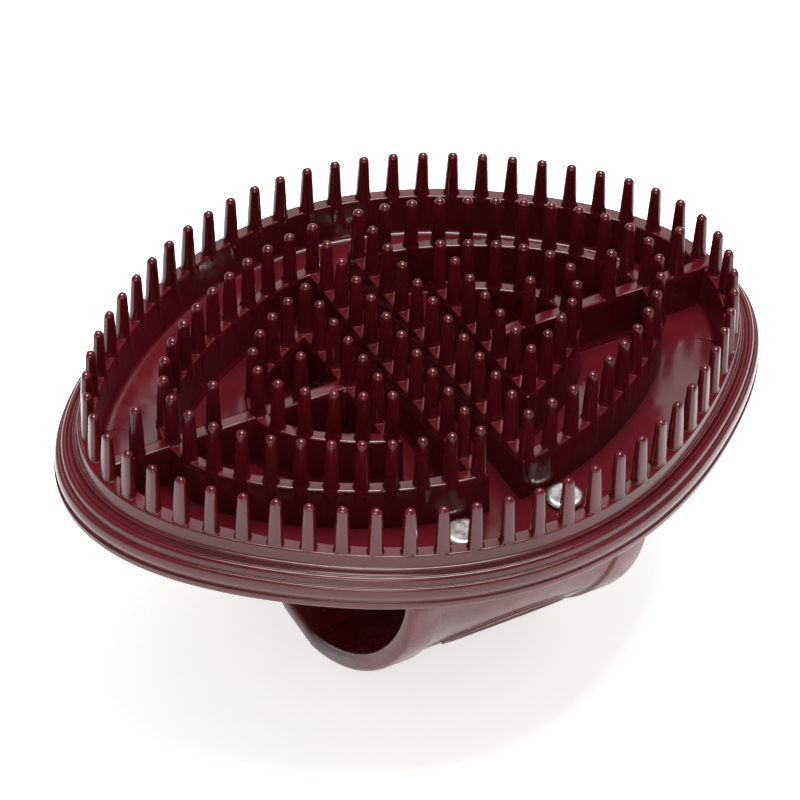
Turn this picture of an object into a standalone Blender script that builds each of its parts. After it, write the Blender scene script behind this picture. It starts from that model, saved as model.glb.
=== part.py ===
"""Oval rubber curry brush: a moulded toothed pad with a rubber hand strap riveted under it.

Metres, +Z up. X runs along the pad, Y across it. Z is 0 at the flat underside of the strap loop,
on which the brush stands with its teeth up. The pad lies level.
"""

import math

import bmesh
import bpy
from mathutils import Vector

# Pad outline: a flattened oval. The semi-axes are those of the outer tooth row and of the rim.
ROW_X = 0.0746
ROW_Y = 0.0583
RIM_X = 0.0825
RIM_Y = 0.0642
FLATTEN = 0.055
OVAL_POINTS = 48

# Pad levels.
TIP_Z = 0.0820
OUTER_TIP_Z = 0.0805
RIDGE_Z = 0.0695
WALL_Z = 0.0690
FLOOR_Z = 0.0592
POCKET_Z = 0.0577
UNDERSIDE_Z = 0.0555
RIM_BOTTOM_Z = 0.0580

# Teeth: tapered round pegs.
TOOTH_FOOT_R = 0.00172
TOOTH_TIP_R = 0.00125
TOOTH_SIDES = 6
OUTER_TEETH = 60
OUTER_LEAN = 0.0006
TOOTH_ROOT = 0.0016

# Two D-shaped loops of ridge on each side of the middle, one inside the other.
BIG_D = {"reach_x": 0.0582, "reach_y": 0.0380, "straight_x": 0.0057, "arc_teeth": 23, "row_teeth": 12}
SMALL_D = {"reach_x": 0.0381, "reach_y": 0.0232, "straight_x": 0.0173, "arc_teeth": 11, "row_teeth": 7}
RIDGE_HALF = 0.0016
RIDGE_FOOT_HALF = 0.0019
RIB_TEETH_X = (0.0280, 0.0486, 0.0664)
RIB_START_X = 0.0173
RIB_END_X = 0.0740
ARC_STEPS = 18

# Hand strap: a band bent into a loop, with a flat tab at each end.
STRAP_WIDTH = 0.057
STRAP_THICK = 0.0042
PANEL_THICK = 0.0034
BORDER = 0.0065
LOOP_HALF_Y = 0.0526
LOOP_POWER = 1.6
LOOP_SINK = 0.0012
LOOP_STEPS = 16
TAB_GAP = 0.0003
TAB_END_Y = 0.0345
TAB_THICK = 0.0030
CORNER_R = 0.0045
LOOP_TOP_Z = UNDERSIDE_Z - TAB_GAP - CORNER_R

# Rivets and washers.
RIVET_X = 0.0122
RIVET_Y = 0.0436
HEAD_R = 0.0041
HEAD_HEIGHT = 0.0011
SHANK_R = 0.0020
HOLE_R = 0.0023
TAIL_R = 0.0032
TAIL_BORE_R = 0.0012
WASHER_R = 0.0044
WASHER_THICK = 0.0008
GAP = 0.0003
TURN_STEPS = 20


def clear_scene():
    for obj in list(bpy.data.objects):
        bpy.data.objects.remove(obj, do_unlink=True)


def new_collection(name):
    collection = bpy.data.collections.new(name)
    bpy.context.scene.collection.children.link(collection)
    return collection


def make_material(name, colour, roughness, metallic):
    material = bpy.data.materials.new(name)
    material.use_nodes = True
    shader = material.node_tree.nodes["Principled BSDF"]
    shader.inputs["Base Color"].default_value = (*colour, 1.0)
    shader.inputs["Roughness"].default_value = roughness
    shader.inputs["Metallic"].default_value = metallic
    return material


def add_object(name, mesh, collection, material=None):
    obj = bpy.data.objects.new(name, mesh)
    if material:
        mesh.materials.append(material)
    collection.objects.link(obj)
    return obj


def mesh_from(bm, name):
    bmesh.ops.recalc_face_normals(bm, faces=bm.faces)
    mesh = bpy.data.meshes.new(name)
    bm.to_mesh(mesh)
    bm.free()
    return mesh


def add_loft(bm, rings):
    """A closed body through rings of equal length, with a flat cap on each end."""
    loops = [[bm.verts.new(point) for point in ring] for ring in rings]
    count = len(loops[0])
    for lower, upper in zip(loops, loops[1:]):
        for i in range(count):
            j = (i + 1) % count
            bm.faces.new((lower[i], lower[j], upper[j], upper[i]))
    bm.faces.new(reversed(loops[0]))
    bm.faces.new(loops[-1])


def oval_point(semi_x, semi_y, angle):
    """A point of an ellipse whose four diagonals are pulled in a little."""
    pull = 1 - FLATTEN * math.sin(2 * angle) ** 2
    return semi_x * pull * math.cos(angle), semi_y * pull * math.sin(angle)


def evenly_along(points, count, first=0.0, closed=False):
    """Count places spaced evenly along a line of points. A closed line starts first spacings in."""
    path = points + points[:1] if closed else points
    lengths = [0.0]
    for a, b in zip(path, path[1:]):
        lengths.append(lengths[-1] + math.dist(a, b))
    step = lengths[-1] / (count if closed else count - 1)
    places = []
    k = 0
    for i in range(count):
        target = min((i + first) * step, lengths[-1])
        while k < len(path) - 2 and lengths[k + 1] < target:
            k += 1
        share = (target - lengths[k]) / (lengths[k + 1] - lengths[k])
        a, b = path[k], path[k + 1]
        places.append((a[0] + share * (b[0] - a[0]), a[1] + share * (b[1] - a[1])))
    return places


def rim_ring(outward, z):
    """A ring of the pad. Outward is 0 on the outer tooth row and 1 on the rim's edge."""
    semi_x = ROW_X + outward * (RIM_X - ROW_X)
    semi_y = ROW_Y + outward * (RIM_Y - ROW_Y)
    turn = 2 * math.pi / OVAL_POINTS
    return [(*oval_point(semi_x, semi_y, i * turn), z) for i in range(OVAL_POINTS)]


def base_mesh():
    """Floor, upright wall and the beaded rim around it, as one turned-like section."""
    section = [
        (0.10, UNDERSIDE_Z),
        (0.22, RIM_BOTTOM_Z + 0.0012),
        (0.70, RIM_BOTTOM_Z + 0.0024),
        (0.86, RIM_BOTTOM_Z),
        (0.97, RIM_BOTTOM_Z),
        (1.00, RIM_BOTTOM_Z + 0.0006),
        (1.00, RIM_BOTTOM_Z + 0.0018),
        (0.94, RIM_BOTTOM_Z + 0.0026),
        (0.92, RIM_BOTTOM_Z + 0.0044),
        (0.80, RIM_BOTTOM_Z + 0.0062),
        (0.64, RIM_BOTTOM_Z + 0.0068),
        (0.55, RIM_BOTTOM_Z + 0.0064),
        (0.45, RIM_BOTTOM_Z + 0.0078),
        (0.40, RIM_BOTTOM_Z + 0.0082),
        (0.30, WALL_Z),
        (-0.20, WALL_Z),
        (-0.40, FLOOR_Z + 0.0010),
        (-0.55, FLOOR_Z),
    ]
    bm = bmesh.new()
    add_loft(bm, [rim_ring(outward, z) for outward, z in section])
    return mesh_from(bm, "base")


def d_outline(loop, side, inset=0.0):
    """The D's arc from its lower corner round to its upper corner, and its straight row back."""
    reach_x = loop["reach_x"] - inset
    reach_y = loop["reach_y"] - inset
    straight_x = loop["straight_x"] + inset
    corner = math.acos(straight_x / reach_x)
    angles = [corner * (2 * i / ARC_STEPS - 1) for i in range(ARC_STEPS + 1)]
    arc = [oval_point(reach_x, reach_y, angle) for angle in angles]
    return [(side * x, y) for x, y in arc]


def ridge_mesh(loop, side):
    """A low wall along a closed D, wider at its foot."""
    bm = bmesh.new()
    levels = (
        (-RIDGE_FOOT_HALF, UNDERSIDE_Z + 0.0010),
        (-RIDGE_HALF, RIDGE_Z),
        (RIDGE_HALF, RIDGE_Z),
        (RIDGE_FOOT_HALF, UNDERSIDE_Z + 0.0010),
    )
    loops = []
    for inset, z in levels:
        loops.append([bm.verts.new((x, y, z)) for x, y in d_outline(loop, side, inset)])
    count = len(loops[0])
    for first, second in zip(loops, loops[1:] + loops[:1]):
        for i in range(count):
            j = (i + 1) % count
            bm.faces.new((first[i], first[j], second[j], second[i]))
    return mesh_from(bm, "ridge")


def bar_mesh(x0, x1, half_foot, half_top, z0, z1):
    """A straight low wall along X."""
    bm = bmesh.new()
    rings = []
    for half, z in ((half_foot, z0), (half_top, z1)):
        rings.append([(x0, -half, z), (x1, -half, z), (x1, half, z), (x0, half, z)])
    add_loft(bm, rings)
    return mesh_from(bm, "bar")


def add_tooth(bm, foot, tip):
    """One peg from its foot centre to the top of its rounded tip."""
    height = tip[2] - foot[2]
    levels = (
        (0.0, TOOTH_FOOT_R),
        (height - 0.7 * TOOTH_TIP_R, TOOTH_TIP_R),
        (height, 0.5 * TOOTH_TIP_R),
    )
    rings = []
    for rise, radius in levels:
        centre = Vector(foot).lerp(Vector(tip), rise / height)
        ring = []
        for i in range(TOOTH_SIDES):
            angle = 2 * math.pi * i / TOOTH_SIDES
            ring.append(centre + Vector((radius * math.cos(angle), radius * math.sin(angle), 0)))
        rings.append(ring)
    add_loft(bm, rings)


def d_teeth(loop, side):
    arc = d_outline(loop, side)
    row = [arc[-1], arc[0]]
    return evenly_along(arc, loop["arc_teeth"]) + evenly_along(row, loop["row_teeth"])[1:-1]


def outer_teeth():
    turn = 2 * math.pi / 360
    line = [oval_point(ROW_X, ROW_Y, i * turn) for i in range(360)]
    return evenly_along(line, OUTER_TEETH, first=0.5, closed=True)


def teeth_mesh():
    bm = bmesh.new()
    places = [(x * side, 0.0) for x in RIB_TEETH_X for side in (-1, 1)]
    for side in (-1, 1):
        for loop in (BIG_D, SMALL_D):
            places += d_teeth(loop, side)
    for x, y in places:
        add_tooth(bm, (x, y, RIDGE_Z - TOOTH_ROOT), (x, y, TIP_Z))
    for x, y in outer_teeth():
        out = Vector((x, y)).normalized() * OUTER_LEAN
        add_tooth(bm, (x + out.x, y + out.y, WALL_Z - TOOTH_ROOT), (x, y, OUTER_TIP_Z))
    return mesh_from(bm, "teeth")


def cylinder_mesh(radius, z0, z1):
    bm = bmesh.new()
    depth = z1 - z0
    bmesh.ops.create_cone(
        bm, cap_ends=True, segments=TURN_STEPS, radius1=radius, radius2=radius, depth=depth
    )
    bmesh.ops.translate(bm, verts=bm.verts, vec=(0, 0, z0 + depth / 2))
    return mesh_from(bm, "cylinder")


def boolean(target, operation, helper):
    modifier = target.modifiers.new(helper.name, "BOOLEAN")
    modifier.operation = operation
    modifier.object = helper
    modifier.solver = "EXACT"


def hide_helper(obj):
    obj.hide_render = True
    obj.display_type = "WIRE"


def pocket_mesh(side):
    """The floor inside each big D lies a little lower."""
    bm = bmesh.new()
    outline = d_outline(BIG_D, side)
    add_loft(bm, [[(x, y, z) for x, y in outline] for z in (POCKET_Z, FLOOR_Z + 0.0010)])
    return mesh_from(bm, "pocket")


def rivet_places():
    places = {}
    for end, y in (("front", -RIVET_Y), ("back", RIVET_Y)):
        for hand, x in (("left", -RIVET_X), ("right", RIVET_X)):
            places[end + "_" + hand] = (x, y)
    return places


def build_pad(parts, helpers, rubber):
    pad = add_object("toothed_pad", base_mesh(), parts, rubber)
    for side, hand in ((-1, "left"), (1, "right")):
        pocket = add_object("pocket_" + hand, pocket_mesh(side), helpers)
        hide_helper(pocket)
        boolean(pad, "DIFFERENCE", pocket)
    for name, (x, y) in rivet_places().items():
        drill = add_object("pad_hole_" + name, cylinder_mesh(HOLE_R, 0.050, 0.062), helpers)
        drill.location = (x, y, 0)
        hide_helper(drill)
        boolean(pad, "DIFFERENCE", drill)
    for side, hand in ((-1, "left"), (1, "right")):
        for size, loop in (("big", BIG_D), ("small", SMALL_D)):
            ridge = add_object("ridge_" + size + "_" + hand, ridge_mesh(loop, side), helpers)
            hide_helper(ridge)
            boolean(pad, "UNION", ridge)
        ends = sorted((side * RIB_START_X, side * RIB_END_X))
        rib = bar_mesh(*ends, RIDGE_FOOT_HALF, RIDGE_HALF, UNDERSIDE_Z + 0.0010, RIDGE_Z)
        rib = add_object("rib_" + hand, rib, helpers)
        hide_helper(rib)
        boolean(pad, "UNION", rib)
    teeth = add_object("teeth", teeth_mesh(), helpers)
    hide_helper(teeth)
    boolean(pad, "UNION", teeth)
    return pad


def loop_outside():
    """The strap's outer face from tab end to tab end, in Y and Z, with the inward normals."""
    tab_z = UNDERSIDE_Z - TAB_GAP
    half = [(-TAB_END_Y, tab_z), (-TAB_END_Y - 0.004, tab_z)]
    centre_y = -LOOP_HALF_Y + CORNER_R
    for i in range(5):
        angle = math.pi / 2 * (1 + i / 4)
        half.append((centre_y + CORNER_R * math.cos(angle), LOOP_TOP_Z + CORNER_R * math.sin(angle)))
    drop = LOOP_TOP_Z + LOOP_SINK
    for i in range(1, LOOP_STEPS + 1):
        angle = math.pi / 2 * i / LOOP_STEPS
        y = -LOOP_HALF_Y * math.cos(angle) ** (2 / LOOP_POWER)
        z = LOOP_TOP_Z - drop * math.sin(angle) ** (2 / LOOP_POWER)
        half.append((y, max(z, 0.0)))
    return half + [(-y, z) for y, z in reversed(half[:-1])]


def inward_normals(line):
    normals = []
    for i in range(len(line)):
        before = line[max(i - 1, 0)]
        after = line[min(i + 1, len(line) - 1)]
        along = Vector((after[0] - before[0], after[1] - before[1])).normalized()
        normals.append(Vector((-along.y, along.x)))
    return normals


def smooth_step(value):
    value = min(max(value, 0.0), 1.0)
    return value * value * (3 - 2 * value)


def strap_section(sunk):
    """The closed section of the band. Sunk is 1 in the panel and 0 on its two borders."""
    line = loop_outside()
    outer = []
    inner = []
    for (y, z), normal in zip(line, inward_normals(line)):
        on_tab = smooth_step((z - LOOP_TOP_Z) / CORNER_R)
        thick = STRAP_THICK + on_tab * (TAB_THICK - STRAP_THICK)
        panel = sunk * (STRAP_THICK - PANEL_THICK) * smooth_step((z - 0.003) / 0.006) * (1 - on_tab)
        outer.append((y + panel * normal.x, z + panel * normal.y))
        inner.append((y + thick * normal.x, z + thick * normal.y))
    return outer + inner[::-1]


def strap_mesh():
    half = STRAP_WIDTH / 2
    stations = (
        (-half, 0.0),
        (-half + BORDER, 0.0),
        (-half + BORDER + 0.0006, 1.0),
        (half - BORDER - 0.0006, 1.0),
        (half - BORDER, 0.0),
        (half, 0.0),
    )
    bm = bmesh.new()
    add_loft(bm, [[(x, y, z) for y, z in strap_section(sunk)] for x, sunk in stations])
    return mesh_from(bm, "hand_strap")


def build_strap(parts, helpers, rubber):
    strap = add_object("hand_strap", strap_mesh(), parts, rubber)
    for name, (x, y) in rivet_places().items():
        drill = add_object("strap_hole_" + name, cylinder_mesh(HOLE_R, 0.050, 0.058), helpers)
        drill.location = (x, y, 0)
        hide_helper(drill)
        boolean(strap, "DIFFERENCE", drill)
    return strap


def turned_object(name, profile, parts, material):
    """A round piece from a profile that runs down its outer side, turned about Z."""
    bm = bmesh.new()
    points = [bm.verts.new((radius, 0.0, z)) for radius, z in profile]
    for a, b in zip(points, points[1:]):
        bm.edges.new((a, b))
    mesh = bpy.data.meshes.new(name)
    bm.to_mesh(mesh)
    bm.free()
    obj = add_object(name, mesh, parts, material)
    screw = obj.modifiers.new("turn", "SCREW")
    screw.axis = "Z"
    screw.steps = TURN_STEPS
    screw.render_steps = TURN_STEPS
    screw.use_merge_vertices = True
    screw.merge_threshold = 0.00001
    screw.use_smooth_shade = True
    return obj


def rivet_profile():
    """Domed head on the pad's floor, shank, and a rolled hollow tail below the washer."""
    head_z = FLOOR_Z + GAP
    tail_z = UNDERSIDE_Z - TAB_GAP - TAB_THICK - GAP - WASHER_THICK - GAP
    return [
        (0.0, head_z + HEAD_HEIGHT),
        (0.55 * HEAD_R, head_z + 0.9 * HEAD_HEIGHT),
        (0.88 * HEAD_R, head_z + 0.6 * HEAD_HEIGHT),
        (HEAD_R, head_z + 0.25 * HEAD_HEIGHT),
        (0.97 * HEAD_R, head_z),
        (SHANK_R, head_z),
        (SHANK_R, tail_z),
        (0.8 * TAIL_R, tail_z),
        (TAIL_R, tail_z - 0.0005),
        (0.8 * TAIL_R, tail_z - 0.0010),
        (0.6 * TAIL_R, tail_z - 0.0009),
        (TAIL_BORE_R, tail_z - 0.0002),
        (TAIL_BORE_R, tail_z + 0.0015),
        (0.0, tail_z + 0.0018),
    ]


def washer_profile():
    top = UNDERSIDE_Z - TAB_GAP - TAB_THICK - GAP
    bottom = top - WASHER_THICK
    rounding = 0.0002
    return [
        (HOLE_R, top),
        (WASHER_R - rounding, top),
        (WASHER_R, top - rounding),
        (WASHER_R, bottom + rounding),
        (WASHER_R - rounding, bottom),
        (HOLE_R, bottom),
        (HOLE_R, top),
    ]


def build_fasteners(parts, metal):
    for name, (x, y) in rivet_places().items():
        rivet = turned_object("rivet_" + name, rivet_profile(), parts, metal)
        rivet.location = (x, y, 0)
        washer = turned_object("washer_" + name, washer_profile(), parts, metal)
        washer.location = (x, y, 0)


def main():
    clear_scene()
    parts = new_collection("rubber_curry_brush")
    helpers = new_collection("cutters")
    pad_rubber = make_material("pad_rubber", (0.115, 0.012, 0.020), 0.32, 0.0)
    strap_rubber = make_material("strap_rubber", (0.125, 0.014, 0.023), 0.36, 0.0)
    metal = make_material("plated_steel", (0.80, 0.78, 0.75), 0.25, 1.0)
    pad = build_pad(parts, helpers, pad_rubber)
    strap = build_strap(parts, helpers, strap_rubber)
    build_fasteners(parts, metal)
    for obj in (pad, strap):
        obj.data.shade_smooth()
        obj.data.set_sharp_from_angle(angle=math.radians(35))


main()
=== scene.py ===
"""The looks of the oval rubber curry brush: fine moulded pad, hand strap, rivets, materials, light.

Metres, +Z up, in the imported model's frame. X runs along the pad, Y across it.
"""

import math

import bmesh
import bpy
from mathutils import Matrix, Vector


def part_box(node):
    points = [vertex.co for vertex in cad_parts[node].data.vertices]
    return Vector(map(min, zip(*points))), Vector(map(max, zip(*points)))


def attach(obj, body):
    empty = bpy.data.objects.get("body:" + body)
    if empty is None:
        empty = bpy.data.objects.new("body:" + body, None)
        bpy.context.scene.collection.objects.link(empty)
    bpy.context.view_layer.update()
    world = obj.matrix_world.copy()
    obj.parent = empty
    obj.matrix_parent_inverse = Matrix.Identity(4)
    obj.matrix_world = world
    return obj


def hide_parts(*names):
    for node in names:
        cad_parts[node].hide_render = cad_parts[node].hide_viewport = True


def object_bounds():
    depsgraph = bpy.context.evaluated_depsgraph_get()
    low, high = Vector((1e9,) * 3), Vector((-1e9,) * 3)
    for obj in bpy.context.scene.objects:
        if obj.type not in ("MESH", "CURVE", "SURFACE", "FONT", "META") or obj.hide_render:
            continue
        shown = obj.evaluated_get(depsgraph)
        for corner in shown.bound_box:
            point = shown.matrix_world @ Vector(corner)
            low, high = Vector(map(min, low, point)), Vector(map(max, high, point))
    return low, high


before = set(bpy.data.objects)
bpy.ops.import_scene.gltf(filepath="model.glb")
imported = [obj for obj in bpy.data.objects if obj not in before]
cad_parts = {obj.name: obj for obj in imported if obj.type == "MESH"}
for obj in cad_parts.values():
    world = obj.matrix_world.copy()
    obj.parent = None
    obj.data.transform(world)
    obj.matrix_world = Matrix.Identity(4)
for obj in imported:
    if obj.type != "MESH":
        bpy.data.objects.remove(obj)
cad_low, cad_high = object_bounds()

ROOT = "root"
PAD_LOW, PAD_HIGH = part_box("toothed_pad")
STRAP_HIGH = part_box("hand_strap")[1]

# Pad outline: a flattened oval. The rim comes from the frame, the outer tooth row lies inside it.
RIM_X = PAD_HIGH[0]
RIM_Y = PAD_HIGH[1]
ROW_X = RIM_X - 0.0079
ROW_Y = RIM_Y - 0.0059
FLATTEN = 0.055
OVAL_POINTS = 288

# Pad levels.
TIP_Z = PAD_HIGH[2]
OUTER_TIP_Z = TIP_Z - 0.0015
RIDGE_Z = TIP_Z - 0.0125
WALL_Z = TIP_Z - 0.0130
FLOOR_Z = TIP_Z - 0.0228
POCKET_Z = TIP_Z - 0.0243
UNDERSIDE_Z = PAD_LOW[2]
RIM_BOTTOM_Z = UNDERSIDE_Z + 0.0025

# Teeth: tapered round pegs with round tips and a flared foot.
TOOTH_FOOT_R = 0.00168
TOOTH_TIP_R = 0.00122
TOOTH_FLARE = 0.0007
TOOTH_SIDES = 18
OUTER_TEETH = 60
OUTER_LEAN = 0.0002
TOOTH_ROOT = 0.0015
FLAT_FROM = 0.70

# Two D-shaped loops of ridge on each side of the middle, one inside the other.
BIG_D = {"reach_x": 0.0582, "reach_y": 0.0380, "straight_x": 0.0057, "arc_teeth": 23, "row_teeth": 12}
SMALL_D = {"reach_x": 0.0381, "reach_y": 0.0232, "straight_x": 0.0173, "arc_teeth": 11, "row_teeth": 7}
RIDGE_HALF = 0.0016
RIDGE_FOOT_HALF = 0.0019
RIDGE_ROUND = 0.0005
RIB_TEETH_X = (0.0280, 0.0486, 0.0664)
RIB_START_X = 0.0173
RIB_END_X = 0.0742
ARC_STEPS = 72
WEB_R = 0.0024
EJECTOR_R = 0.0040
EJECTOR_DEPTH = 0.00007

# Hand strap: a band bent into a loop, with a flat tab at each end.
STRAP_HALF_X = STRAP_HIGH[0]
LOOP_HALF_Y = STRAP_HIGH[1]
STRAP_THICK = 0.0042
PANEL_SINK = 0.0008
BORDER = 0.0065
LOOP_POWER = 1.6
LOOP_SINK = 0.0012
LOOP_STEPS = 64
TAB_GAP = 0.0003
TAB_END_Y = 0.0345
TAB_THICK = 0.0030
CORNER_R = 0.0045
LOOP_TOP_Z = UNDERSIDE_Z - TAB_GAP - CORNER_R

# Plain oval mark on the strap's front panel.
MARK_Z = 0.0265
MARK_HALF_X = 0.0150
MARK_HALF_S = 0.0048

# Rivets and washers.
HEAD_R = 0.0041
HEAD_HEIGHT = 0.0011
SHANK_R = 0.0020
TAIL_R = 0.0032
HOLE_R = 0.0023
TURN_STEPS = 64

# Rubber: the darkest and the palest burgundy of the pad and of the strap.
PAD_COLOURS = ((0.046, 0.0022, 0.0042), (0.066, 0.0034, 0.0062))
STRAP_COLOURS = ((0.048, 0.0024, 0.0046), (0.070, 0.0038, 0.0068))

# Light: the floor glows a little, as a lit studio table does.
SKY_STRENGTH = 0.42
FLOOR_GLOW = 0.52

# Camera: where it looks, from how far and with which lens.
CAMERA_AZIMUTH = math.radians(29.53)
CAMERA_ELEVATION = math.radians(41.18)
CAMERA_ROLL = math.radians(-1.70)
CAMERA_DISTANCE = 0.7139
CAMERA_RIGHT = -0.0037
CAMERA_UP = -0.0183
CAMERA_LENS = 150.1


# ---------------------------------------------------------------- mesh helpers


def finish_mesh(bm, name, sharp_degrees=38):
    bmesh.ops.recalc_face_normals(bm, faces=bm.faces)
    mesh = bpy.data.meshes.new(name)
    bm.to_mesh(mesh)
    bm.free()
    mesh.shade_smooth()
    mesh.set_sharp_from_angle(angle=math.radians(sharp_degrees))
    return mesh


def add_piece(name, mesh, material):
    obj = bpy.data.objects.new(name, mesh)
    mesh.materials.append(material)
    bpy.context.scene.collection.objects.link(obj)
    return obj


def add_loft(bm, rings):
    """A closed body through rings of equal length, with a flat cap on each end."""
    loops = [[bm.verts.new(point) for point in ring] for ring in rings]
    count = len(loops[0])
    for lower, upper in zip(loops, loops[1:]):
        for i in range(count):
            j = (i + 1) % count
            bm.faces.new((lower[i], lower[j], upper[j], upper[i]))
    bm.faces.new(reversed(loops[0]))
    bm.faces.new(loops[-1])


def add_closed_sweep(bm, loops_of_points):
    """A body whose section is closed and whose path is closed: loop by loop round the section."""
    loops = [[bm.verts.new(point) for point in loop] for loop in loops_of_points]
    count = len(loops[0])
    for first, second in zip(loops, loops[1:] + loops[:1]):
        for i in range(count):
            j = (i + 1) % count
            bm.faces.new((first[i], first[j], second[j], second[i]))


def rounded(corners, steps=6):
    """A line whose corners (u, v, radius) are rounded, each by a short curve."""
    line = []
    for i, (u, v, radius) in enumerate(corners):
        here = Vector((u, v))
        if radius == 0 or i in (0, len(corners) - 1):
            line.append((u, v))
            continue
        before = Vector(corners[i - 1][:2]) - here
        after = Vector(corners[i + 1][:2]) - here
        start = here + before.normalized() * min(radius, before.length * 0.48)
        end = here + after.normalized() * min(radius, after.length * 0.48)
        for k in range(steps + 1):
            t = k / steps
            point = start * (1 - t) ** 2 + here * 2 * t * (1 - t) + end * t**2
            line.append((point.x, point.y))
    return line


def oval_point(semi_x, semi_y, angle):
    """A point of an ellipse whose four diagonals are pulled in a little."""
    pull = 1 - FLATTEN * math.sin(2 * angle) ** 2
    return semi_x * pull * math.cos(angle), semi_y * pull * math.sin(angle)


def evenly_along(points, count, first=0.0, closed=False):
    """Count places spaced evenly along a line of points. A closed line starts first spacings in."""
    path = points + points[:1] if closed else points
    lengths = [0.0]
    for a, b in zip(path, path[1:]):
        lengths.append(lengths[-1] + math.dist(a, b))
    step = lengths[-1] / (count if closed else count - 1)
    places = []
    k = 0
    for i in range(count):
        target = min((i + first) * step, lengths[-1])
        while k < len(path) - 2 and lengths[k + 1] < target:
            k += 1
        share = (target - lengths[k]) / (lengths[k + 1] - lengths[k])
        a, b = path[k], path[k + 1]
        places.append((a[0] + share * (b[0] - a[0]), a[1] + share * (b[1] - a[1])))
    return places


def smooth_step(value):
    value = min(max(value, 0.0), 1.0)
    return value * value * (3 - 2 * value)


# ---------------------------------------------------------------- pad


def rim_ring(outward, z):
    """A ring of the pad. Outward is 0 on the outer tooth row and 1 on the rim's edge."""
    semi_x = ROW_X + outward * (RIM_X - ROW_X)
    semi_y = ROW_Y + outward * (RIM_Y - ROW_Y)
    turn = 2 * math.pi / OVAL_POINTS
    return [(*oval_point(semi_x, semi_y, i * turn), z) for i in range(OVAL_POINTS)]


def base_mesh():
    """Floor, upright wall and the beaded rim around it."""
    rim = RIM_X - ROW_X
    mm = 0.001
    corners = [
        (0.10, UNDERSIDE_Z, 0),
        (0.22, RIM_BOTTOM_Z + 1.2 * mm, 1.0 * mm),
        (0.70, RIM_BOTTOM_Z + 2.4 * mm, 1.0 * mm),
        (0.86, RIM_BOTTOM_Z, 0.4 * mm),
        (0.97, RIM_BOTTOM_Z, 0.3 * mm),
        (1.00, RIM_BOTTOM_Z + 0.5 * mm, 0.3 * mm),
        (1.00, RIM_BOTTOM_Z + 1.7 * mm, 0.3 * mm),
        (0.935, RIM_BOTTOM_Z + 1.9 * mm, 0.2 * mm),
        (0.985, RIM_BOTTOM_Z + 3.5 * mm, 1.2 * mm),
        (0.925, RIM_BOTTOM_Z + 5.3 * mm, 1.2 * mm),
        (0.80, RIM_BOTTOM_Z + 5.2 * mm, 0.3 * mm),
        (0.76, RIM_BOTTOM_Z + 6.9 * mm, 0.7 * mm),
        (0.64, RIM_BOTTOM_Z + 7.3 * mm, 0.8 * mm),
        (0.55, RIM_BOTTOM_Z + 6.5 * mm, 0.7 * mm),
        (0.46, RIM_BOTTOM_Z + 7.2 * mm, 0.7 * mm),
        (0.44, RIM_BOTTOM_Z + 8.1 * mm, 0.25 * mm),
        (0.36, RIM_BOTTOM_Z + 8.3 * mm, 0.25 * mm),
        (0.29, WALL_Z, 0.35 * mm),
        (-0.22, WALL_Z, 0.5 * mm),
        (-0.34, FLOOR_Z + 0.3 * mm, 1.2 * mm),
        (-0.60, FLOOR_Z, 0),
    ]
    scaled = [(outward * rim, z, radius) for outward, z, radius in corners]
    bm = bmesh.new()
    add_loft(bm, [rim_ring(u / rim, z) for u, z in rounded(scaled)])
    return finish_mesh(bm, "base")


def d_outline(loop, side, inset=0.0):
    """The D's arc from its lower corner round to its upper corner."""
    reach_x = loop["reach_x"] - inset
    reach_y = loop["reach_y"] - inset
    straight_x = loop["straight_x"] + inset
    corner = math.acos(straight_x / reach_x)
    angles = [corner * (2 * i / ARC_STEPS - 1) for i in range(ARC_STEPS + 1)]
    arc = [oval_point(reach_x, reach_y, angle) for angle in angles]
    return [(side * x, y) for x, y in arc]


def ridge_section():
    """Half-width and height round the ridge's section, flared at the foot and rounded on top."""
    foot_z = POCKET_Z - 0.0012
    flare = 0.0006
    corners = [
        (-RIDGE_FOOT_HALF - flare, foot_z, 0),
        (-RIDGE_FOOT_HALF - flare, POCKET_Z + 0.0002, 0.0002),
        (-RIDGE_FOOT_HALF, POCKET_Z + 0.0012, 0.0008),
        (-RIDGE_HALF, RIDGE_Z, RIDGE_ROUND),
        (RIDGE_HALF, RIDGE_Z, RIDGE_ROUND),
        (RIDGE_FOOT_HALF, POCKET_Z + 0.0012, 0.0008),
        (RIDGE_FOOT_HALF + flare, POCKET_Z + 0.0002, 0.0002),
        (RIDGE_FOOT_HALF + flare, foot_z, 0),
    ]
    return rounded(corners, 3)


def add_ridge(bm, loop, side):
    rings = [[(x, y, z) for x, y in d_outline(loop, side, inset)] for inset, z in ridge_section()]
    add_closed_sweep(bm, rings)


def rib_mesh(side):
    bm = bmesh.new()
    ends = sorted((side * RIB_START_X, side * RIB_END_X))
    add_loft(bm, [[(x, half, z) for half, z in ridge_section()] for x in ends])
    return finish_mesh(bm, "rib")


def add_round_body(bm, centre, levels, sides, flat_outside=None):
    """A round upright body. Levels are (z, radius, shift). One side can be cut nearly flat."""
    rings = []
    for z, radius, shift in levels:
        ring = []
        for i in range(sides):
            angle = 2 * math.pi * i / sides
            point = Vector((radius * math.cos(angle), radius * math.sin(angle), 0))
            if flat_outside:
                over = point.dot(flat_outside) - FLAT_FROM * radius
                if over > 0:
                    point -= flat_outside * over * 0.75
            ring.append(Vector((centre[0], centre[1], z)) + shift + point)
        rings.append(ring)
    add_loft(bm, rings)


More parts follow.
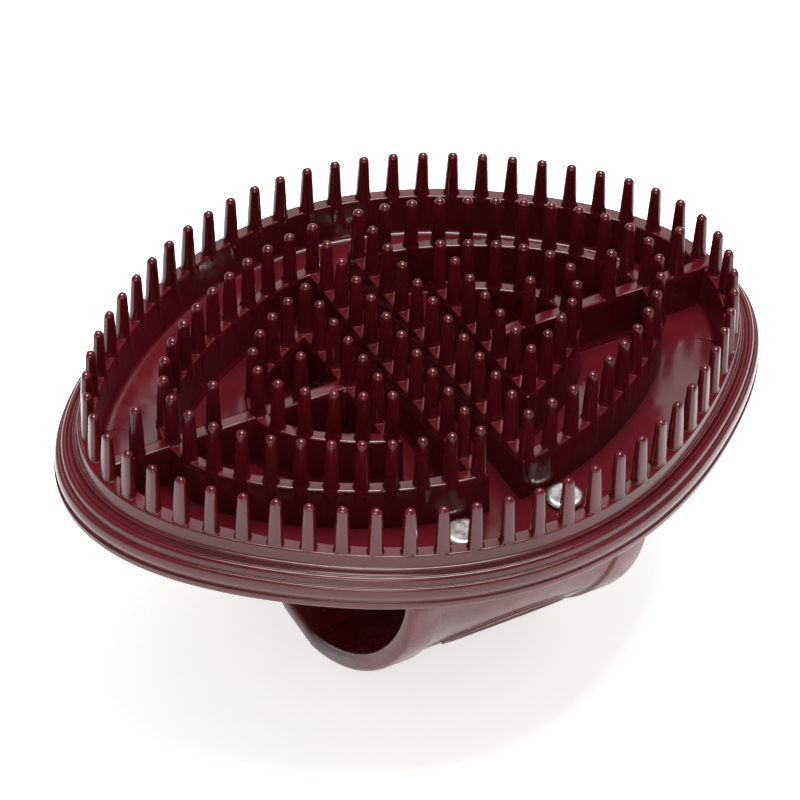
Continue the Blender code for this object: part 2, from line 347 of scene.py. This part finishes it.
def tooth_levels(foot_z, tip_z, lean):
    """Root, flared foot, taper and half-round tip."""
    top = tip_z - TOOTH_TIP_R
    profile = [
        (foot_z - TOOTH_ROOT, TOOTH_FOOT_R + TOOTH_FLARE * 0.4),
        (foot_z - 0.0001, TOOTH_FOOT_R + TOOTH_FLARE * 0.4),
        (foot_z + 0.0003, TOOTH_FOOT_R + TOOTH_FLARE * 0.15),
        (foot_z + 0.0009, TOOTH_FOOT_R),
        ((foot_z + top) / 2, (TOOTH_FOOT_R + TOOTH_TIP_R) / 2 + 0.00008),
        (top - 0.0012, TOOTH_TIP_R + 0.00006),
        (top, TOOTH_TIP_R),
    ]
    for angle in (20, 40, 58, 74, 86):
        turn = math.radians(angle)
        profile.append((top + TOOTH_TIP_R * math.sin(turn), TOOTH_TIP_R * math.cos(turn)))
    height = tip_z - foot_z
    return [(z, radius, lean * ((tip_z - z) / height)) for z, radius in profile]


def d_teeth(loop, side):
    arc = d_outline(loop, side)
    row = [arc[-1], arc[0]]
    return evenly_along(arc, loop["arc_teeth"]) + evenly_along(row, loop["row_teeth"])[1:-1]


def outer_teeth():
    turn = 2 * math.pi / 720
    line = [oval_point(ROW_X, ROW_Y, i * turn) for i in range(720)]
    return evenly_along(line, OUTER_TEETH, first=0.5, closed=True)


def inner_teeth():
    places = [(x * side, 0.0) for x in RIB_TEETH_X for side in (-1, 1)]
    for side in (-1, 1):
        for loop in (BIG_D, SMALL_D):
            places += d_teeth(loop, side)
    return places


def teeth_mesh():
    bm = bmesh.new()
    for place in inner_teeth():
        add_round_body(bm, place, tooth_levels(RIDGE_Z, TIP_Z, Vector()), TOOTH_SIDES)
    for x, y in outer_teeth():
        out = Vector((x / ROW_X**2, y / ROW_Y**2, 0)).normalized()
        levels = tooth_levels(WALL_Z, OUTER_TIP_Z, out * OUTER_LEAN)
        add_round_body(bm, (x, y), levels, TOOTH_SIDES, flat_outside=out)
    return finish_mesh(bm, "teeth")


def join_modifier(target, operation, helper):
    modifier = target.modifiers.new(helper.name, "BOOLEAN")
    modifier.operation = operation
    modifier.object = helper
    modifier.solver = "EXACT"


def rivet_places():
    places = {}
    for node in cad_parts:
        if node.startswith("rivet_"):
            low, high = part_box(node)
            places[node] = ((low[0] + high[0]) / 2, (low[1] + high[1]) / 2)
    return places


def disc_mesh(places, radius, z0, z1, sides=40):
    bm = bmesh.new()
    for place in places:
        add_round_body(bm, place, [(z0, radius, Vector()), (z1, radius, Vector())], sides)
    return finish_mesh(bm, "discs")


def pocket_mesh():
    bm = bmesh.new()
    for side in (-1, 1):
        outline = d_outline(BIG_D, side)
        add_loft(bm, [[(x, y, z) for x, y in outline] for z in (POCKET_Z, FLOOR_Z + 0.0020)])
    return finish_mesh(bm, "pockets")


def ejector_places():
    """Round marks that the mould's ejector pins left on the floor, mirrored to both ends."""
    return [(sx * 0.0640, sy * 0.0155) for sx in (-1, 1) for sy in (-1, 1)]


def blob_mesh():
    """Soft webs of rubber where a rib meets or crosses a ridge."""
    bm = bmesh.new()
    places = []
    for side in (-1, 1):
        for loop in (BIG_D, SMALL_D):
            arc = d_outline(loop, side)
            places.append(arc[len(arc) // 2])
        places.append((side * SMALL_D["straight_x"], 0.0))
    levels = [
        (POCKET_Z - 0.0010, WEB_R + 0.0003),
        (RIDGE_Z - 0.0016, WEB_R),
        (RIDGE_Z - 0.0006, WEB_R * 0.93),
        (RIDGE_Z - 0.00015, WEB_R * 0.74),
        (RIDGE_Z + 0.0001, WEB_R * 0.45),
    ]
    for place in places:
        add_round_body(bm, place, [(z, radius, Vector()) for z, radius in levels], 24)
    return finish_mesh(bm, "webs")


def make_pad(material):
    helpers = []

    def helper(name, mesh, operation):
        obj = add_piece(name, mesh, material)
        join_modifier(pad, operation, obj)
        helpers.append(obj)

    pad = add_piece("moulded_pad", base_mesh(), material)
    helper("pockets", pocket_mesh(), "DIFFERENCE")
    above = FLOOR_Z + 0.002
    holes = disc_mesh(rivet_places().values(), HOLE_R, UNDERSIDE_Z - 0.002, above)
    helper("holes", holes, "DIFFERENCE")
    ejectors = disc_mesh(ejector_places(), EJECTOR_R, FLOOR_Z - EJECTOR_DEPTH, above)
    helper("ejectors", ejectors, "DIFFERENCE")
    for side in (-1, 1):
        for loop in (BIG_D, SMALL_D):
            bm = bmesh.new()
            add_ridge(bm, loop, side)
            helper("ridge", finish_mesh(bm, "ridge"), "UNION")
        helper("rib", rib_mesh(side), "UNION")
    helper("webs", blob_mesh(), "UNION")
    helper("teeth", teeth_mesh(), "UNION")
    graph = bpy.context.evaluated_depsgraph_get()
    mesh = bpy.data.meshes.new_from_object(pad.evaluated_get(graph))
    pad.modifiers.clear()
    pad.data = mesh
    for obj in helpers:
        bpy.data.objects.remove(obj, do_unlink=True)
    mesh.shade_smooth()
    mesh.set_sharp_from_angle(angle=math.radians(38))
    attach(pad, ROOT)
    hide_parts("toothed_pad")
    return pad


# ---------------------------------------------------------------- strap


def loop_outside():
    """The strap's outer face from tab end to tab end, in Y and Z."""
    tab_z = UNDERSIDE_Z - TAB_GAP
    half = []
    for i in range(9):
        half.append((-TAB_END_Y - i / 9 * (LOOP_HALF_Y - CORNER_R - TAB_END_Y), tab_z))
    centre_y = -LOOP_HALF_Y + CORNER_R
    corner_steps = 12
    for i in range(corner_steps + 1):
        angle = math.pi / 2 * (1 + i / corner_steps)
        half.append((centre_y + CORNER_R * math.cos(angle), LOOP_TOP_Z + CORNER_R * math.sin(angle)))
    drop = LOOP_TOP_Z + LOOP_SINK
    for i in range(1, LOOP_STEPS + 1):
        angle = math.pi / 2 * i / LOOP_STEPS
        y = -LOOP_HALF_Y * math.cos(angle) ** (2 / LOOP_POWER)
        z = LOOP_TOP_Z - drop * math.sin(angle) ** (2 / LOOP_POWER)
        half.append((y, max(z, 0.0)))
    return half + [(-y, z) for y, z in reversed(half[:-1])]


def inward_normals(line):
    normals = []
    for i in range(len(line)):
        before = line[max(i - 1, 0)]
        after = line[min(i + 1, len(line) - 1)]
        along = Vector((after[0] - before[0], after[1] - before[1])).normalized()
        normals.append(Vector((-along.y, along.x)))
    return normals


def strap_section(sunk, trim):
    """The closed section of the band. Sunk is 1 in the panel; trim thins the rounded edges."""
    line = loop_outside()
    outer = []
    inner = []
    for (y, z), normal in zip(line, inward_normals(line)):
        on_tab = smooth_step((z - LOOP_TOP_Z) / CORNER_R)
        thick = STRAP_THICK + on_tab * (TAB_THICK - STRAP_THICK)
        panel = sunk * PANEL_SINK * smooth_step((z - 0.003) / 0.006) * (1 - on_tab)
        near = panel + trim
        far = thick - trim
        outer.append((y + near * normal.x, z + near * normal.y))
        inner.append((y + far * normal.x, z + far * normal.y))
    return outer + inner[::-1]


def strap_stations():
    """Places across the band: X, how much of the panel's depth is taken there, and the edge's rounding."""
    edge = 0.0010
    stations = []
    for angle in (0, 30, 60, 90):
        turn = math.radians(angle)
        stations.append((STRAP_HALF_X - edge * (1 - math.cos(turn)), 0.0, edge * (1 - math.sin(turn))))
    step = 0.0009
    inner_x = STRAP_HALF_X - BORDER
    for k in range(7):
        t = k / 6
        stations.append((inner_x - step * t, smooth_step(t), 0.0))
    stations.append((inner_x / 2, 1.0, 0.0))
    mirrored = [(-x, sunk, trim) for x, sunk, trim in stations]
    return mirrored + stations[::-1]


def mark_mesh():
    """A plain raised oval outline on the front panel, which follows the panel's curve."""
    bm = bmesh.new()
    line = loop_outside()
    normals = inward_normals(line)
    heights = [z for _, z in line[: len(line) // 2]]
    middle = min(range(len(heights)), key=lambda i: abs(heights[i] - MARK_Z))
    lengths = [0.0]
    for a, b in zip(line, line[1:]):
        lengths.append(lengths[-1] + math.dist(a, b))

    def on_panel(x, along, lift):
        target = lengths[middle] + along
        k = max(i for i in range(len(line) - 1) if lengths[i] <= target)
        share = (target - lengths[k]) / (lengths[k + 1] - lengths[k])
        point = Vector(line[k]).lerp(Vector(line[k + 1]), share)
        normal = normals[k].lerp(normals[k + 1], share)
        point += normal * (PANEL_SINK - lift)
        return x, point.x, point.y

    steps = 64
    loops = []
    for spread, lift in ((0.0006, -0.0003), (0.0003, 0.0005), (-0.0003, 0.0005), (-0.0006, -0.0003)):
        loop = []
        for i in range(steps):
            angle = 2 * math.pi * i / steps
            across = (MARK_HALF_X + spread) * math.cos(angle)
            along = (MARK_HALF_S + spread) * math.sin(angle)
            loop.append(on_panel(across, along, lift))
        loops.append(loop)
    add_closed_sweep(bm, loops)
    return finish_mesh(bm, "mark")


def make_strap(material):
    bm = bmesh.new()
    sections = []
    for x, sunk, trim in strap_stations():
        sections.append([(x, y, z) for y, z in strap_section(sunk, trim)])
    add_loft(bm, sections)
    strap = add_piece("moulded_strap", finish_mesh(bm, "strap", 50), material)
    holes = disc_mesh(rivet_places().values(), HOLE_R, UNDERSIDE_Z - 0.006, UNDERSIDE_Z + 0.001)
    cutter = add_piece("strap_holes", holes, material)
    mark = add_piece("plain_mark", mark_mesh(), material)
    join_modifier(strap, "UNION", mark)
    join_modifier(strap, "DIFFERENCE", cutter)
    graph = bpy.context.evaluated_depsgraph_get()
    mesh = bpy.data.meshes.new_from_object(strap.evaluated_get(graph))
    strap.modifiers.clear()
    strap.data = mesh
    for helper in (cutter, mark):
        bpy.data.objects.remove(helper, do_unlink=True)
    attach(strap, ROOT)
    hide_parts("hand_strap")
    return strap


# ---------------------------------------------------------------- rivets and washers


def turned_mesh(name, profile, place):
    """A round piece turned from a profile of (radius, height)."""
    bm = bmesh.new()
    rings = []
    for radius, z in profile:
        if radius == 0:
            rings.append([bm.verts.new((place[0], place[1], z))] * TURN_STEPS)
            continue
        ring = []
        for i in range(TURN_STEPS):
            angle = 2 * math.pi * i / TURN_STEPS
            x = place[0] + radius * math.cos(angle)
            y = place[1] + radius * math.sin(angle)
            ring.append(bm.verts.new((x, y, z)))
        rings.append(ring)
    for first, second in zip(rings, rings[1:]):
        for i in range(TURN_STEPS):
            j = (i + 1) % TURN_STEPS
            corners = list(dict.fromkeys((first[i], first[j], second[j], second[i])))
            if len(corners) > 2:
                bm.faces.new(corners)
    bmesh.ops.remove_doubles(bm, verts=bm.verts, dist=1e-6)
    return finish_mesh(bm, name, 40)


def rivet_profile(low_z, high_z):
    """Shallow dished head with a rolled edge, a shank, and a hollow tail rolled over."""
    mm = 0.001
    top = [
        (0.0, high_z - 0.10 * mm),
        (1.9 * mm, high_z - 0.06 * mm),
        (2.9 * mm, high_z - 0.02 * mm),
        (3.2 * mm, high_z),
        (3.55 * mm, high_z - 0.05 * mm),
        (3.85 * mm, high_z - 0.25 * mm),
        (HEAD_R, high_z - 0.62 * mm),
        (HEAD_R - 0.05 * mm, high_z - 0.9 * mm),
        (HEAD_R - 0.2 * mm, high_z - HEAD_HEIGHT),
        (SHANK_R, high_z - HEAD_HEIGHT),
    ]
    tail = [
        (SHANK_R, low_z + 1.0 * mm),
        (2.6 * mm, low_z + 0.98 * mm),
        (3.0 * mm, low_z + 0.8 * mm),
        (TAIL_R, low_z + 0.5 * mm),
        (3.05 * mm, low_z + 0.2 * mm),
        (2.6 * mm, low_z),
        (2.0 * mm, low_z + 0.08 * mm),
        (1.45 * mm, low_z + 0.4 * mm),
        (1.2 * mm, low_z + 1.0 * mm),
        (1.2 * mm, low_z + 2.3 * mm),
        (0.0, low_z + 2.6 * mm),
    ]
    return top + tail


def washer_profile(low_z, high_z, outer_r):
    """A flat ring with softened edges."""
    soft = 0.0002
    return [
        (HOLE_R, high_z - soft),
        (HOLE_R + soft, high_z),
        (outer_r - soft, high_z),
        (outer_r, high_z - soft),
        (outer_r, low_z + soft),
        (outer_r - soft, low_z),
        (HOLE_R + soft, low_z),
        (HOLE_R, low_z + soft),
        (HOLE_R, high_z - soft),
    ]


def make_fasteners(material):
    for node in list(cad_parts):
        if not node.startswith(("rivet_", "washer_")):
            continue
        low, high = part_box(node)
        place = ((low[0] + high[0]) / 2, (low[1] + high[1]) / 2)
        if node.startswith("rivet_"):
            profile = rivet_profile(low[2], high[2])
        else:
            profile = washer_profile(low[2], high[2], (high[0] - low[0]) / 2)
        piece = add_piece("fine_" + node, turned_mesh(node, profile, place), material)
        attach(piece, ROOT)
        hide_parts(node)


# ---------------------------------------------------------------- materials


def new_material(name):
    material = bpy.data.materials.new(name)
    material.use_nodes = True
    return material, material.node_tree, material.node_tree.nodes["Principled BSDF"]


def add_noise(tree, scale, detail, rough=0.5):
    where = tree.nodes.new("ShaderNodeTexCoord")
    noise = tree.nodes.new("ShaderNodeTexNoise")
    noise.inputs["Scale"].default_value = scale
    noise.inputs["Detail"].default_value = detail
    noise.inputs["Roughness"].default_value = rough
    tree.links.new(where.outputs["Object"], noise.inputs["Vector"])
    return noise.outputs["Fac"]


def add_ramp(tree, source, stops):
    ramp = tree.nodes.new("ShaderNodeValToRGB")
    ramp.color_ramp.elements[0].position = stops[0][0]
    ramp.color_ramp.elements[0].color = (*stops[0][1], 1)
    ramp.color_ramp.elements[1].position = stops[-1][0]
    ramp.color_ramp.elements[1].color = (*stops[-1][1], 1)
    tree.links.new(source, ramp.inputs["Fac"])
    return ramp.outputs["Color"]


def add_range(tree, source, low, high):
    mapped = tree.nodes.new("ShaderNodeMapRange")
    mapped.inputs["From Min"].default_value = 0.3
    mapped.inputs["From Max"].default_value = 0.7
    mapped.inputs["To Min"].default_value = low
    mapped.inputs["To Max"].default_value = high
    tree.links.new(source, mapped.inputs["Value"])
    return mapped.outputs["Result"]


def rubber_material(name, colours, roughness, bump):
    """Moulded rubber: slightly uneven colour and gloss, with a fine skin texture."""
    material, tree, shader = new_material(name)
    colour = add_ramp(tree, add_noise(tree, 45, 5), [(0.35, colours[0]), (0.65, colours[1])])
    tree.links.new(colour, shader.inputs["Base Color"])
    gloss = add_range(tree, add_noise(tree, 160, 6, 0.65), *roughness)
    tree.links.new(gloss, shader.inputs["Roughness"])
    relief = tree.nodes.new("ShaderNodeBump")
    relief.inputs["Strength"].default_value = bump
    relief.inputs["Distance"].default_value = 0.0001
    tree.links.new(add_noise(tree, 900, 3), relief.inputs["Height"])
    tree.links.new(relief.outputs["Normal"], shader.inputs["Normal"])
    shader.inputs["IOR"].default_value = 1.52
    shader.inputs["Specular IOR Level"].default_value = 0.36
    return material


def metal_material(name):
    """Bright plated steel with faint turning marks and dull spots."""
    material, tree, shader = new_material(name)
    stops = [(0.3, (0.88, 0.86, 0.82)), (0.7, (0.96, 0.95, 0.92))]
    colour = add_ramp(tree, add_noise(tree, 300, 3), stops)
    tree.links.new(colour, shader.inputs["Base Color"])
    gloss = add_range(tree, add_noise(tree, 500, 5, 0.6), 0.22, 0.36)
    tree.links.new(gloss, shader.inputs["Roughness"])
    shader.inputs["Metallic"].default_value = 1.0
    return material


def floor_material():
    material, tree, shader = new_material("pale_floor")
    stops = [(0.3, (0.93, 0.93, 0.93)), (0.7, (0.95, 0.95, 0.95))]
    colour = add_ramp(tree, add_noise(tree, 2, 2), stops)
    tree.links.new(colour, shader.inputs["Base Color"])
    shader.inputs["Roughness"].default_value = 0.9
    shader.inputs["Specular IOR Level"].default_value = 0.1
    shader.inputs["Emission Color"].default_value = (1.0, 1.0, 1.0, 1.0)
    shader.inputs["Emission Strength"].default_value = FLOOR_GLOW
    return material


# ---------------------------------------------------------------- stage


def make_floor():
    bm = bmesh.new()
    bmesh.ops.create_grid(bm, x_segments=2, y_segments=2, size=4.0)
    bmesh.ops.translate(bm, verts=bm.verts, vec=(0, 0, cad_low[2] - 0.0001))
    floor = add_piece("floor", finish_mesh(bm, "floor"), floor_material())


def add_area_light(name, place, size, power):
    lamp = bpy.data.lights.new(name, "AREA")
    lamp.shape = "DISK"
    lamp.size = size
    lamp.energy = power
    obj = bpy.data.objects.new(name, lamp)
    obj.location = place
    aim = Vector((0, 0, TIP_Z)) - Vector(place)
    obj.rotation_mode = "QUATERNION"
    obj.rotation_quaternion = aim.to_track_quat("-Z", "Y")
    bpy.context.scene.collection.objects.link(obj)


def make_light():
    world = bpy.data.worlds.new("studio")
    world.use_nodes = True
    world.node_tree.nodes["Background"].inputs["Color"].default_value = (1, 1, 1, 1)
    world.node_tree.nodes["Background"].inputs["Strength"].default_value = SKY_STRENGTH
    bpy.context.scene.world = world
    add_area_light("overhead", (0.12, 0.05, 1.2), 0.75, 27.0)
    add_area_light("front_fill", (-0.6, -1.0, 0.55), 0.5, 6.0)
    add_area_light("back_soft", (0.44, 0.78, 0.88), 0.60, 1.5)


def make_camera():
    sin_a, cos_a = math.sin(CAMERA_AZIMUTH), math.cos(CAMERA_AZIMUTH)
    sin_e, cos_e = math.sin(CAMERA_ELEVATION), math.cos(CAMERA_ELEVATION)
    forward = Vector((sin_a * cos_e, cos_a * cos_e, -sin_e))
    level_right = Vector((cos_a, -sin_a, 0))
    level_up = Vector((sin_a * sin_e, cos_a * sin_e, cos_e))
    right = level_right * math.cos(CAMERA_ROLL) - level_up * math.sin(CAMERA_ROLL)
    up = level_right * math.sin(CAMERA_ROLL) + level_up * math.cos(CAMERA_ROLL)
    data = bpy.data.cameras.new("camera")
    data.lens = CAMERA_LENS
    data.sensor_width = 36.0
    data.clip_end = 20.0
    camera = bpy.data.objects.new("camera", data)
    target = Vector((0, 0, TIP_Z))
    place = target - forward * CAMERA_DISTANCE + right * CAMERA_RIGHT + up * CAMERA_UP
    axes = Matrix((right, up, -forward)).transposed().to_4x4()
    camera.matrix_world = Matrix.Translation(place) @ axes
    bpy.context.scene.collection.objects.link(camera)
    bpy.context.scene.camera = camera


# ---------------------------------------------------------------- whole scene

make_camera()
make_light()
make_floor()
bpy.context.scene.view_settings.view_transform = "Standard"

pad_rubber = rubber_material("burgundy_pad", PAD_COLOURS, (0.11, 0.24), bump=0.08)
strap_rubber = rubber_material("burgundy_strap", STRAP_COLOURS, (0.16, 0.32), bump=0.12)
metal = metal_material("plated_steel")

make_pad(pad_rubber)
make_strap(strap_rubber)
make_fasteners(metal)
